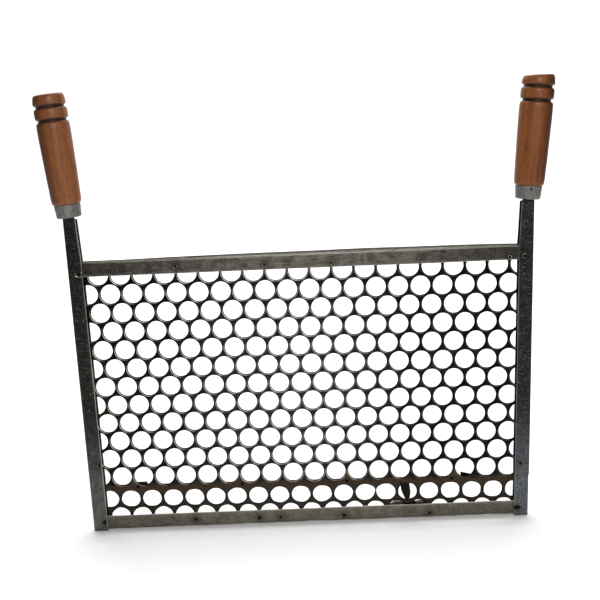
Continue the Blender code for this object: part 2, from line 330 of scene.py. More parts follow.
def punched_sheet(name, front, rows, punched_rows, shift, rim_of, low_line, high_line):
    """Tiles the rows, trims the sheet between two slanted lines and the side bars."""
    bm = bmesh.new()
    for layer in ("lip_glint", "edge"):
        bm.verts.layers.float.new(layer)
    turn = Matrix.Rotation(pattern_turn, 2)
    for row in rows:
        for step in range(-widest_column, widest_column + 1):
            column = step + 0.5 * (row % 2)
            placed = flat_point(column, row, shift)
            inset = half_width(placed.y) - 2 * wall - abs(placed.x)
            if inset < -pitch:
                continue
            holed = row in punched_rows and inset > hole_inset
            untilted = turn.inverted() @ placed
            add_tile(bm, untilted, rim_of(column, row) if holed else None, front)
    bmesh.ops.remove_doubles(bm, verts=bm.verts, dist=0.004 * mm)
    tilt = Matrix.Rotation(-pattern_turn, 4, "Y")
    bmesh.ops.transform(bm, matrix=tilt, verts=bm.verts)
    for side in (-1, 1):
        edge = Vector((side * (base_half_width - 2 * wall), 0, 0))
        lean = Vector((side * math.cos(bar_lean), 0, -math.sin(bar_lean)))
        trim(bm, edge, lean)
    for (height, slope), up in ((low_line, -1), (high_line, 1)):
        trim(bm, Vector((0, 0, height)), Vector((-up * math.sin(slope), 0, up * math.cos(slope))))
    bmesh.ops.recalc_face_normals(bm, faces=bm.faces)
    sheet = piece_from(bm, name)
    smooth(sheet, sharp=40)
    return sheet


def even_rim(column, row):
    """A round hole, with the punch's small wobble."""
    wobble = 0.08 * mm
    return [
        hole_radius + wobble * noise.noise((math.cos(a) + 9 * column, math.sin(a), 7 * row))
        for a in angles
    ]


sheet_low, sheet_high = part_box("upper_sheet")
upper_sheet = punched_sheet(
    "punched_sheet",
    front=sheet_low[1],
    rows=range(-8, 6),
    punched_rows=range(-7, 5),
    shift=(0, 0),
    rim_of=even_rim,
    low_line=row_line(seam_row),
    high_line=(sheet_high[2], 0),
)
print("sheet:", len(upper_sheet.data.vertices), "points")

# %% [markdown]
# The strip's holes are flattened: each rim is squashed by a tenth, and a slow wobble makes every
# hole a little different. Towards the right the strip was beaten flat again, which shows in rims
# that are more like rounded boxes. The web between two of the holes is almost broken through.

# %% The lower strip
strip_shift = (-3.7 * mm, -5.7 * mm)
thin_web_columns = (3.5, 4.5)
web_bite = 1.15 * mm
thinnest_web = 0.12 * mm


def rough_rim(column, row):
    """A flattened hole, and on both sides of one web a hole that nearly breaks through.

    Only the upper of the strip's two rows is flattened."""
    squash = 0.91 if row == 5 else 1.0
    boxy = 0.05 * smooth_step(column, 2, 7) if row == 5 else 0
    rim = []
    for a in angles:
        wobble = noise.noise((1.5 * math.cos(a) + 5 * column, 1.5 * math.sin(a), 3 * row))
        radius = hole_radius * (1 + 0.05 * wobble + boxy * (abs(math.sin(2 * a)) - 0.6))
        radius *= 1 - (1 - squash) * math.sin(a) ** 2
        if column in thin_web_columns and row == 5:
            towards = 0 if column == thin_web_columns[0] else math.pi
            radius += web_bite * max(math.cos(a - towards - 0.35 * math.cos(towards)), 0) ** 8
        rim.append(min(radius, hexagon(a) - thinnest_web))
    return rim


_, strip_front, strip_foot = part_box("lower_strip")[0]
lower_strip = punched_sheet(
    "lapped_strip",
    front=strip_front,
    rows=range(4, 9),
    punched_rows=range(5, 7),
    shift=strip_shift,
    rim_of=rough_rim,
    low_line=(strip_foot, 0),
    high_line=row_line(strip_top_row),
)
print("strip:", len(lower_strip.data.vertices), "points")

# %% [markdown]
# ## Folded channels
#
# Each frame piece is a strip of galvanised sheet folded into a U. The surface is made once, as a
# grid of points: across the grid run the two folds, along it run the stations of the channel. A
# Solidify modifier then gives it the sheet's thickness. Because the grid is fine, its points can
# be moved a little, so that the lips wave and the faces dip, as in anything folded by hand.

# %% Folded channels
fold_radius = 1.2 * mm


def rounded_section(corners):
    """Points along a line through four corners, with arcs at the two inner ones.

    The points on the flat stretches crowd towards their ends, where wear needs a sharp border."""
    points = [Vector(corner) for corner in corners]
    line = [points[0]]
    for before, corner, after in zip(points, points[1:], points[2:]):
        back = (before - corner).normalized()
        on = (after - corner).normalized()
        opening = back.angle(on)
        middle = corner + (back + on).normalized() * fold_radius / math.sin(opening / 2)
        spoke = corner + back * fold_radius / math.tan(opening / 2) - middle
        axis = on.cross(back).normalized()
        for step in range(5):
            swing = Matrix.Rotation((math.pi - opening) * step / 4, 3, axis)
            line.append(middle + swing @ spoke)
    line.append(points[-1])
    filled = [line[0]]
    for index, (start, end) in enumerate(zip(line, line[1:])):
        flat_stretch = index in (0, 5, 10)
        shares = (0.03, 0.08, 0.3, 0.5, 0.7, 0.92, 0.97, 1) if flat_stretch else (1,)
        filled += [start.lerp(end, share) for share in shares]
    return filled


def channel(name, sections, wave):
    """A channel through the sections, each four corners from front lip to back lip.

    wave(point, share) moves a point; share is 0 at the front lip and 1 at the back one."""
    bm = bmesh.new()
    rows = []
    for section in sections:
        line = rounded_section(section)
        last = len(line) - 1
        rows.append([bm.verts.new(wave(point, i / last)) for i, point in enumerate(line)])
    for low, high in zip(rows, rows[1:]):
        for a, b, c, d in zip(low, low[1:], high[1:], high):
            bm.faces.new((a, b, c, d))
    bmesh.ops.recalc_face_normals(bm, faces=bm.faces)
    surface = piece_from(bm, name)
    shell = surface.modifiers.new("wall", "SOLIDIFY")
    shell.thickness = wall
    shell.offset = 0
    shell.use_even_offset = True
    rounding = surface.modifiers.new("edges", "BEVEL")
    rounding.width = 0.15 * mm
    rounding.segments = 2
    rounding.limit_method = "ANGLE"
    rounding.angle_limit = math.radians(50)
    apply_modifiers(surface)
    smooth(surface, sharp=35)
    return surface


def stations(start, end, spacing=3 * mm):
    count = round(abs(end - start) / spacing)
    return [start + (end - start) * i / count for i in range(count + 1)]


# %% [markdown]
# The top rail's front face is straight, and its back edge is bowed upward, which shows as a light
# band above the front fold. The bottom rail's fold is wavy from the hammer. Its back lip is lower
# than its front one, except behind the torn part of the strip, where it was pried up in two humps.

# %% Top and bottom rail
top_low, top_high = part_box("top_rail")
foot_low, foot_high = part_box("bottom_rail")
rail_depth = (top_high[1] - top_low[1] - wall) / 2
top_fold = 280.2 * mm
top_lip = top_low[2]
foot_fold = foot_low[2] + wall / 2
foot_lip = foot_high[2]
back_rise = 1.0 * mm
bow = 2.2 * mm
back_lip_drop = 2.6 * mm
hump_rise = 6.4 * mm


def top_section(x):
    along = x / top_high[0]
    rise = back_rise + bow * (1 - along**2) * (1 + 0.6 * along)
    return [
        (x, -rail_depth, top_lip),
        (x, -rail_depth, top_fold),
        (x, rail_depth, top_fold + rise),
        (x, rail_depth, top_lip),
    ]


def top_wave(point, share):
    moved = point.copy()
    slow = noise.noise((point.x * 18, share * 2, 1.3))
    moved.z += 0.35 * mm * slow
    moved.y += 0.18 * mm * noise.noise((point.x * 30, point.z * 60, 4.1)) * (share < 0.5)
    return moved


top_sections = [top_section(x) for x in stations(top_low[0], top_high[0])]
top_rail = channel("top_channel", top_sections, top_wave)


def bump_at(x, middle, width):
    """A soft bump of height 1."""
    return math.exp(-(((x - middle) / width) ** 2))


def foot_section(x):
    pried = hump_rise * (bump_at(x, 91 * mm, 7 * mm) + 0.85 * bump_at(x, 114 * mm, 7 * mm))
    return [
        (x, -rail_depth, foot_lip),
        (x, -rail_depth, foot_fold),
        (x, rail_depth, foot_fold),
        (x, rail_depth, foot_lip - back_lip_drop + pried),
    ]


def foot_wave(point, share):
    moved = point.copy()
    fold = max(0, 1 - abs(point.z - foot_fold) / (6 * mm))
    hammered = noise.noise((point.x * 45, 2.2, 0.7)) + 0.6 * noise.noise((point.x * 120, 5.2, 0.7))
    moved.z += 0.4 * mm * fold * hammered
    moved.z += 0.25 * mm * (1 - fold) * noise.noise((point.x * 30, 8.0, 2.0))
    moved.y += 0.15 * mm * noise.noise((point.x * 40, point.z * 60, 9.1)) * (share < 0.5)
    return moved


foot_sections = [foot_section(x) for x in stations(foot_low[0], foot_high[0])]
bottom_rail = channel("bottom_channel", foot_sections, foot_wave)

# %% [markdown]
# ## Side bars
#
# A side bar is wider at its foot than at its neck, and it leans outward. Its back lip stops just
# under the ferrule, and the rest goes on into the handle as a narrow tang. On the right bar the
# outer fold has a small nick, below which it is narrower.

# %% Side bars
foot_width = 15.0 * mm
rail_level_width = 14.4 * mm
neck_width = 12.5 * mm
bar_depth = rail_depth + wall + 0.3 * mm
ferrule_foot = 325.5 * mm
neck_height = ferrule_foot - 1.5 * mm
neck_middle = half_width(neck_height) - neck_width / 2
nick_height = 44 * mm
nick_depth = 0.7 * mm


def bar_width(z):
    """Width of the bar's front face: an even taper, and a quicker one above the rail."""
    if z < top_fold:
        return foot_width + (rail_level_width - foot_width) * z / top_fold
    share = min((z - top_fold) / (neck_height - top_fold), 1)
    return rail_level_width + (neck_width - rail_level_width) * share


def bar_section(side, z):
    width = bar_width(z)
    outer = half_width(z)
    if side > 0:
        outer -= nick_depth * smooth_step(-z, -nick_height, -nick_height + 1 * mm)
    back_width = width if z < neck_height - 0.4 * mm else width / 2
    fold_x = side * (outer - wall / 2)
    lip = half_width(z) - width
    return [
        (side * lip, -bar_depth, z),
        (fold_x, -bar_depth, z),
        (fold_x, bar_depth, z),
        (side * (half_width(z) - back_width), bar_depth, z),
    ]


def tang_section(side, run, width, depth):
    x = neck_middle + run * math.tan(handle_lean)
    z = neck_height + run
    fold_x = side * (x + width / 2 - wall / 2)
    return [
        (side * (x - width / 2), -depth, z),
        (fold_x, -depth, z),
        (fold_x, depth, z),
        (side * x, depth, z),
    ]


def bar_wave(point, share):
    moved = point.copy()
    fade = 1 - smooth_step(point.z, top_fold, neck_height)
    lip = max(0, 1 - 6 * min(share, 1 - share))
    moved.x += 0.35 * mm * fade * lip * noise.noise((point.x * 20, point.z * 28, 3 * share))
    moved.y += 0.15 * mm * fade * noise.noise((point.x * 60, point.z * 40, 6 * share))
    return moved


bars = {}
for side_name, side in sides.items():
    straight = stations(0, neck_height - 0.5 * mm) + [neck_height - 0.3 * mm]
    sections = [bar_section(side, z) for z in straight]
    for run, width, depth in ((0.5, 12.3, 4.25), (5, 10.0, 3.8), (12, 8.6, 3.2), (46, 7.4, 3.0)):
        sections.append(tang_section(side, run * mm, width * mm, depth * mm))
    bars[side_name] = channel(side_name + "_channel", sections, bar_wave)

# %% [markdown]
# ## Turned pieces
#
# Everything round on this object was turned or pressed, so it is made like that here: half of its
# outline is drawn, and a Screw modifier turns it about Z. An outline drawn with straight runs would
# leave hard rings round the wood. So it is given as a few corners, each with its own radius, and
# this function rounds them with arcs.

# %% Outlines and turning
def rounded_outline(corners, steps=5):
    """Outline through (radius, height, rounding) corners in mm, as points in metres."""
    outline = []
    for index, (radius, height, rounding) in enumerate(corners):
        corner = Vector((radius, height)) * mm
        if rounding == 0:
            outline.append(corner)
            continue
        before = Vector(corners[index - 1][:2]) * mm - corner
        after = Vector(corners[index + 1][:2]) * mm - corner
        reach = min(rounding * mm, 0.48 * before.length, 0.48 * after.length)
        start = corner + before.normalized() * reach
        end = corner + after.normalized() * reach
        for step in range(steps + 1):
            t = step / steps
            outline.append(start * (1 - t) ** 2 + corner * 2 * t * (1 - t) + end * t * t)
    return outline


def settle(piece, place):
    """Moves a piece's points instead of the piece, so that its box is as tight as it can be."""
    piece.data.transform(place)
    piece.data.update()


def turned(name, outline, steps=72, sharp=45):
    """Turns an outline about Z. It runs down the outside, top to bottom."""
    mesh = bpy.data.meshes.new(name)
    points = [(point.x, 0, point.y) for point in outline]
    mesh.from_pydata(points, [(i, i + 1) for i in range(len(points) - 1)], [])
    piece = new_object(name, mesh)
    turn = piece.modifiers.new("turn", "SCREW")
    turn.steps = steps
    turn.render_steps = steps
    turn.use_merge_vertices = True
    turn.merge_threshold = 1e-5
    apply_modifiers(piece)
    bm = bmesh.new()
    bm.from_mesh(piece.data)
    bmesh.ops.remove_doubles(bm, verts=bm.verts, dist=1e-6)
    bmesh.ops.recalc_face_normals(bm, faces=bm.faces)
    bm.to_mesh(piece.data)
    bm.free()
    smooth(piece, sharp)
    return piece


# %% [markdown]
# ## Spot welds
#
# Two copper electrodes press the sheets together and melt a spot between them. What stays is a
# crater: a bright ring that was squeezed up, round a burnt pit. Each is a turned button, stretched
# and made ragged. The welds of a line are made in one go with one setting, so their craters are one
# piece. How burnt the rings are differs from line to line.

# %% Spot-weld craters
proud = 0.2 * mm
ragged = 0.28 * mm


def weld_distance(point, middles):
    """Distance to the nearest of the welds' middles, seen from the front."""
    return min(math.hypot(point.x - middle.x, point.z - middle.z) for middle in middles)


def weld_line(name, nodes, radius, ring, stretch, burnt):
    """A crater in front of each CAD weld, with a ring of the given height, all in one piece.

    stretch makes it wider than high, and burnt is how dark its ring is."""
    outline = rounded_outline(
        [
            (0.0, 0.10, 0),
            (0.58 * radius, 0.06, 0.3),
            (0.76 * radius, ring, 0.3),
            (0.88 * radius, ring, 0.3),
            (radius, 0.02, 0.3),
            (1.05 * radius, -0.25, 0),
            (0.0, -0.25, 0),
        ],
        steps=3,
    )
    crater = turned(name, outline, steps=28, sharp=60)
    bm = bmesh.new()
    for number, node in enumerate(nodes):
        middle = centre_of(node)
        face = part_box(node)[0][1] + proud
        place = Matrix.Translation((middle.x, face, middle.z))
        facing = Matrix.Rotation(math.radians(90), 4, "X")
        squeeze = Matrix.Diagonal((stretch + 0.08 * math.sin(5 * number), 1, 1, 1))
        first = len(bm.verts)
        bm.from_mesh(crater.data)
        bm.verts.ensure_lookup_table()
        bmesh.ops.transform(bm, matrix=place @ facing @ squeeze, verts=bm.verts[first:])
    for point in bm.verts:
        lump = noise.noise(point.co * 420) + 0.6 * noise.noise(point.co * 1100)
        point.co += Vector((lump, 0.25 * lump, -lump)) * ragged
    bm.to_mesh(crater.data)
    bm.free()
    crater.data.shade_smooth()

    middles = [centre_of(node) for node in nodes]

    def pit_depth(point):
        open_ring = smooth_step(weld_distance(point, middles), 0.58 * radius * mm, 0.74 * radius * mm)
        spatter = 0.5 + 1.6 * noise.noise(point * 700)
        return 1 - open_ring * (1 - burnt) * min(max(spatter, 0), 1)

    paint(crater, "pit", pit_depth)
    return crater


def numbered(name, count):
    return [f"{name}_{number}" for number in range(1, count + 1)]


weld_lines = {}
for line, count, burnt in (
    ("top_rail", 5, 0.0),
    ("bottom_rail", 5, 0.5),
    ("left_bar", 3, 0.2),
    ("right_bar", 3, 0.4),
    ("seam", 4, 0.85),
):
    nodes = numbered(line + "_weld", count)
    craters = weld_line(line + "_craters", nodes, radius=2.1, ring=0.34, stretch=1.0, burnt=burnt)
    weld_lines[line] = (craters, nodes)
for corner, radius, stretch, burnt in (
    ("top_left", 3.2, 1.35, 0.0),
    ("top_right", 2.6, 1.0, 0.1),
    ("bottom_left", 2.4, 1.1, 0.6),
    ("bottom_right", 2.8, 1.3, 0.8),
):
    nodes = [corner + "_weld"]
    craters = weld_line(corner + "_crater", nodes, radius, 0.45, stretch, burnt)
    weld_lines[corner] = (craters, nodes)
print("weld lines:", len(weld_lines))

# %% [markdown]
# ## Turned handles
#
# Each handle is one piece of wood: a cap, a bead and a long grip, parted by two narrow grooves. The
# foot is turned down to a tenon for the ferrule, and it is bored for the bar's tang. The caps were
# sawn off a little slanted, the right one more than the left. A handle is turned upright, and then
# its points are leaned to where it is. The wood's material undoes the lean, so that the grain runs
# along the handle and not along the world's Z.

# %% Handles
groove_heights = (107.6 * mm, 94.4 * mm)
groove_width = 1.9 * mm
cap_width = 31 * mm
cap_slants = {"left": 0.5 * mm, "right": 2.8 * mm}
tenon_radius = 12.8 * mm
unevenness = 0.12 * mm


def handle_place(side):
    """Places an upright turned piece on a side bar. Its origin is the ferrule's foot."""
    foot = neck_middle + (ferrule_foot - neck_height) * math.tan(handle_lean)
    lean = Matrix.Rotation(side * handle_lean, 4, "Y")
    return Matrix.Translation((side * foot, 0, ferrule_foot)) @ lean


handle_outline = rounded_outline(
    [
        (0.0, 120.3, 0),
        (14.3, 119.5, 3.0),  # cap
        (15.4, 115.6, 2.4),
        (15.8, 109.6, 1.2),
        (13.6, 108.5, 0.5),  # upper groove
        (13.5, 106.8, 0.5),
        (15.6, 105.4, 1.2),  # bead
        (16.0, 103.0, 2.0),
        (15.9, 97.5, 2.0),
        (15.6, 96.2, 1.2),
        (13.5, 95.2, 0.5),  # lower groove
        (13.5, 93.6, 0.5),
        (15.6, 92.3, 1.2),  # grip
        (16.1, 88.0, 4.0),
        (15.9, 70.0, 9.0),
        (15.3, 40.0, 9.0),
        (14.7, 18.0, 4.0),
        (14.2, 14.6, 1.6),
        (12.7, 13.1, 0.4),
        (12.1, 13.1, 0.2),  # tenon
        (11.2, 0.9, 0.3),
        (8.2, 0.9, 0.3),  # bore
        (8.2, 62.0, 0.6),
        (0.0, 65.0, 0),
    ]
)


def in_groove(point):
    return max(bump_at(point.z, height, groove_width) for height in groove_heights)


handles = {}
for side_name, side in sides.items():
    handle = turned(side_name + "_turned_handle", handle_outline, steps=96, sharp=60)
    for point in handle.data.vertices:
        on_cap = smooth_step(point.co.z, 111 * mm, 118 * mm)
        point.co.z -= cap_slants[side_name] * on_cap * (0.5 - point.co.x / cap_width)
        spoke = Vector((point.co.x, point.co.y, 0))
        uneven = noise.noise(spoke.normalized() * 0.8 + Vector((side, 0, point.co.z * 22)))
        if spoke.length > tenon_radius:
            point.co += spoke.normalized() * unevenness * (uneven - 0.6)
    # Painted shade on each handle's outer side, away from a light between the handles.
    paint(handle, "outer_side_shade", lambda point: smooth_step(side * point.x, -2 * mm, 16 * mm))
    paint(handle, "groove", in_groove)
    settle(handle, handle_place(side))
    handles[side_name] = handle
print("handle:", len(handle.data.vertices), "points")

# %% [markdown]
# ## Ferrules and tacks
#
# A ferrule is a thin pressed cup that keeps the tenon from splitting. A tack through its side holds
# it, on the front of the right handle and on the back of the left one. The tack's head is domed.

# %% Ferrules and tacks
ferrule_length = 12.8 * mm
ferrule_flare = 1.0 * mm
ferrule_foot_radius = 12.0 * mm
tack_height = 10 * mm
ferrule_outline = rounded_outline(
    [
        (12.4, 12.8, 0),
        (13.0, 12.8, 0.3),
        (12.1, 1.0, 1.6),
        (11.2, 0.0, 1.2),
        (9.0, 0.0, 0.25),
        (9.0, 0.6, 0.25),
        (11.4, 0.6, 0.6),
        (12.4, 12.8, 0),
    ]
)
tack_outline = rounded_outline(
    [
        (0.0, 0.75, 0),
        (1.2, 0.65, 0.9),
        (1.55, 0.0, 0.2),
        (0.6, -0.1, 0.1),
        (0.6, -3.2, 0.2),
        (0.0, -4.0, 0),
    ]
)
ferrules = {}
tacks = {}
for side_name, side in sides.items():
    ferrule = turned(side_name + "_pressed_ferrule", ferrule_outline, steps=96, sharp=50)
    for point in ferrule.data.vertices:
        dent = noise.noise(point.co * 110 + Vector((4 * side, 0, 0)))
        point.co += Vector((point.co.x, point.co.y, 0)).normalized() * 0.14 * mm * dent
    settle(ferrule, handle_place(side))
    ferrules[side_name] = ferrule
    tack = turned(side_name + "_domed_tack", tack_outline, steps=32)
    reach = ferrule_foot_radius + tack_height / ferrule_length * ferrule_flare
    facing = Matrix.Rotation(side * math.pi / 2, 4, "X")
    settle(tack, handle_place(side) @ Matrix.Translation((0, -side * reach, tack_height)) @ facing)
    tacks[side_name] = tack
print("ferrule:", len(ferrule.data.vertices), "points")

# %% [markdown]
# ## Torn edges
#
# The strip was cut with snips, and not cleanly: two tabs stand up from its edge behind the holes of
# the main sheet, and a sliver of its own metal is twisted into one of its holes, with a crumb below
# it. Each is a small outline in the strip's own counting, thickened to sheet metal and bent a little.

# %% Tabs and sliver
def scrap(name, outline, twist):
    """A bit of sheet metal with the given outline of (column, row) points in the strip's pattern."""
    bm = bmesh.new()
    corners = [flat_point(column, row, strip_shift) for column, row in outline]
    face = bm.faces.new([bm.verts.new((corner.x, strip_front, corner.y)) for corner in corners])
    grown = bmesh.ops.extrude_face_region(bm, geom=[face])
    moved = [part for part in grown["geom"] if isinstance(part, bmesh.types.BMVert)]
    bmesh.ops.translate(bm, verts=moved, vec=(0, thickness, 0))
    bmesh.ops.bevel(bm, geom=bm.edges[:], offset=0.12 * mm, segments=2, affect="EDGES")
    bmesh.ops.triangulate(bm, faces=bm.faces)
    bmesh.ops.subdivide_edges(bm, edges=bm.edges, cuts=2)
    middle = sum(corners, Vector((0, 0))) / len(corners)
    for point in bm.verts:
        lean = (point.co.z - middle.y) * twist
        ripple = 0.35 * mm * noise.noise((point.co.x * 260, 1.7, point.co.z * 260))
        point.co.y += (point.co.x - middle.x) * twist + 0.4 * lean + ripple
    bmesh.ops.recalc_face_normals(bm, faces=bm.faces)
    piece = piece_from(bm, name)
    smooth(piece, sharp=40)
    return piece


sliver = [(5.14, 4.46), (5.58, 4.46), (5.64, 5.05), (5.60, 5.40), (5.38, 5.44), (5.20, 4.93)]
scraps = [
    scrap("left_tab", [(-7.17, 4.40), (-7.16, 4.06), (-6.70, 4.05), (-6.62, 4.40)], twist=0.03),
    scrap("right_tab", [(7.99, 4.40), (7.98, 3.98), (8.50, 4.12), (8.50, 4.40)], twist=-0.04),
    scrap("twisted_sliver", sliver, twist=0.10),
    scrap("burnt_crumb", [(5.56, 5.70), (5.70, 5.47), (5.86, 5.58), (5.86, 5.72)], twist=0.1),
]
print("scraps:", [len(piece.data.vertices) for piece in scraps], "points")

# %% [markdown]
# ## Folded steel
#
# The channels are galvanised steel that has been in smoke and fire. Zinc that has weathered is a
# dark and rather rough metal, so it is fully metallic with a low colour. What the eye reads as
# sheet steel are patterns of different size: blotches a few millimetres wide where the zinc has
# dulled, scratches that run along the channel, small pits, and short slanting scrapes. Painted shade
# darkens the insides of the bars, the bars upward from the foot, the ends of the rails and the top
# rail's upper face, so that the rails' middles read as a painted reflection. The welds have scorched
# the steel round them, and folds and cut edges are painted bright, partly as rubbed wear and partly
# as a painted highlight, as are the bottom rail's humps, which lie in shade. These three depend on
# the place, so they are painted on the points and the material reads them. The colours are then laid
# over each other one by one.

# %% Heat, wear, painted shade and painted highlights on the channels
old_metal = {"Metallic": 1.0, "Specular Tint": linear("#7d7d7d")}


def folded_steel(name, dark, pale, shade_colour, scratch_axis):
    """Weathered zinc on folded sheet, with scratches along one axis."""
    material, tree, shader, where = new_material(name)
    across, along = 1 / (0.5 * mm), 1 / (14 * mm)
    scales = [along if axis == scratch_axis else across for axis in "XYZ"]
    stretched = add(tree, "Mapping", {0: where, 3: scales}).outputs[0]
    scratch = add(tree, "TexNoise", {"Vector": stretched, "Scale": 1.0, "Detail": 4.0}).outputs[0]
    blotch = add(tree, "TexNoise", {"Vector": where, "Scale": 1 / (7 * mm), "Detail": 6.0}).outputs[0]
    pit = add(tree, "TexNoise", {"Vector": where, "Scale": 1 / (1.3 * mm), "Detail": 3.0}).outputs[0]
    both = add(tree, "Math", {0: scratch, 1: blotch}, operation="ADD").outputs[0]
    dulled = add(tree, "MapRange", {0: both, 1: 0.80, 2: 1.20, 3: 0.0, 4: 1.0}).outputs[0]
    painted_shade = add(tree, "Attribute", attribute_name="painted_shade").outputs["Fac"]
    fleck = add(tree, "MapRange", {0: pit, 1: 0.54, 2: 0.74, 3: 0.0, 4: 0.14}).outputs[0]
    pitted = add(tree, "MapRange", {0: pit, 1: 0.42, 2: 0.30, 3: 0.0, 4: 0.65}).outputs[0]
    scrape = add(tree, "Mapping", {0: where, 2: (0, 0.6, 0), 3: (160, 160, 2600)}).outputs[0]
    scrape = add(tree, "TexNoise", {"Vector": scrape, "Scale": 1.0, "Detail": 1.0}).outputs[0]
    scrape = add(tree, "MapRange", {0: scrape, 1: 0.66, 2: 0.76, 3: 0.0, 4: 0.5}).outputs[0]
    scorched = add(tree, "Attribute", attribute_name="scorched").outputs["Fac"]
    scorched = add(tree, "Math", {0: scorched, 1: blotch}, operation="MULTIPLY").outputs[0]
    wear_and_highlight = add(tree, "Attribute", attribute_name="wear_and_highlight").outputs["Fac"]
    wear_and_highlight = add(tree, "Math", {0: wear_and_highlight, 1: scratch}, operation="MULTIPLY").outputs[0]
    zinc = linear(dark)
    for share, colour in (
        (dulled, pale),
        # painted shade, read from the points
        (painted_shade, shade_colour),
        (fleck, "#a8a49b"),
        (pitted, "#14120f"),
        (scrape, "#aaa69d"),
        (scorched, "#2a1a10"),
        (wear_and_highlight, "#c9c4bb"),
    ):
        zinc = add(tree, "Mix", {0: share, 6: zinc, 7: linear(colour)}, data_type="RGBA").outputs[2]
    rough = add(tree, "MapRange", {0: blotch, 1: 0.3, 2: 0.7, 3: 0.34, 4: 0.58}).outputs[0]
    relief = add(tree, "Math", {0: scratch, 1: pit}, operation="ADD").outputs[0]
    bump = add(tree, "Bump", {"Height": relief, "Strength": 0.5, "Distance": 0.06 * mm}).outputs[0]
    feed(tree, shader, {"Base Color": zinc, "Roughness": rough, "Normal": bump, **old_metal})
    return material


def lip_wear_and_highlight(point):
    """Painted bright along a side bar's cut lips, partly wear and partly a painted highlight, stronger on
    the left bar, and a little along its folds.
    """
    lip = half_width(point.z) - bar_width(point.z)
    # The left bar's lip gets the stronger painted highlight.
    most = 1.5 if point.x < 0 else 0.6
    on_lip = bump_at(abs(point.x), lip, 0.5 * mm) * (most if point.y < 0 else most / 2)
    return on_lip + 0.2 * bump_at(abs(point.x), half_width(point.z), 0.8 * mm)


def bar_painted_shade(point):
    """Painted shade fills the inside of a side bar, and its outside is painted darker upward from the
    foot.
    """
    if abs(point.y) < bar_depth - 0.2 * mm:
        return 1.0
    return 0.86 * smooth_step(point.z, 0, 130 * mm)


corner_nodes = [corner + "_weld" for corner in ("top_left", "top_right", "bottom_left", "bottom_right")]
for rail, line, lip, fold, painted_light_on_humps, shade_at_ends, shade_on_top in (
    (top_rail, "top_rail", top_lip, top_fold, 0.0, 0.75, 0.9),
    # the bottom rail's humps get painted light
    (bottom_rail, "bottom_rail", foot_lip, foot_fold, 1.7, 0.25, 0.0),
):
    middles = [centre_of(node) for node in weld_lines[line][1] + corner_nodes]

    def rail_wear_and_highlight(point):
        """Painted bright along the cut lip and the fold, partly wear and partly a painted highlight, and
        painted light all over the humps above the lip, which lie in shade.
        """
        edges = 0.8 * bump_at(point.z, lip, 0.7 * mm) + 0.35 * bump_at(point.z, fold, 1.0 * mm)
        return edges + painted_light_on_humps * smooth_step(point.z, lip - 1 * mm, lip + 1 * mm)

    def rail_painted_shade(point):
        """Painted darker at the ends, so the middle reads as a painted reflection, and painted shade on
        the upper face.
        """
        ends = shade_at_ends * smooth_step(abs(point.x), 60 * mm, 210 * mm)
        return max(ends, shade_on_top * smooth_step(point.z, top_fold + 0.2 * mm, top_fold + 0.8 * mm))

    paint(rail, "scorched", lambda point: 1.4 * bump_at(weld_distance(point, middles), 0, 5 * mm))
    paint(rail, "wear_and_highlight", rail_wear_and_highlight)
    paint(rail, "painted_shade", rail_painted_shade)
# The bottom rail's copy is lighter than the top rail's: painted light, for a face that catches more light
# from above.
rail_steels = (
    folded_steel("weathered_zinc_top_rail", "#48453f", "#736e66", "#292725", "X"),
    folded_steel("weathered_zinc_bottom_rail_painted_lighter", "#57534a", "#7d786d", "#3d3a35", "X"),
)
bar_steels = {
    "left": folded_steel("shaded_zinc_left_bar", "#4a4b4a", "#6c6d6b", "#0f1010", "Z"),
    "right": folded_steel("shaded_zinc_right_bar", "#4c4f53", "#6f7379", "#0b0e12", "Z"),
}
finished(top_rail, rail_steels[0], "folded_steel", "top_rail")
finished(bottom_rail, rail_steels[1], "folded_steel", "bottom_rail")
for side_name, bar in bars.items():
    middles = [centre_of(node) for node in weld_lines[side_name + "_bar"][1] + corner_nodes]
    paint(bar, "scorched", lambda point: 1.2 * bump_at(weld_distance(point, middles), 0, 4 * mm))
    paint(bar, "wear_and_highlight", lip_wear_and_highlight)
    paint(bar, "painted_shade", bar_painted_shade)
    finished(bar, bar_steels[side_name], "folded_steel", side_name + "_side_bar")

# %% [markdown]
# ## Punched steel
#
# The sheet is hot-rolled steel with its grey-black mill scale, greasy and browned. It is painted
# paler round the middle, a painted reflection of a bright light in front, and along the seam it
# is scorched brown. On the lower side of each hole the bent lip is painted near white, a painted
# highlight that stands in for a lamp's glint. The cut edge inside the lip stays nearly black.

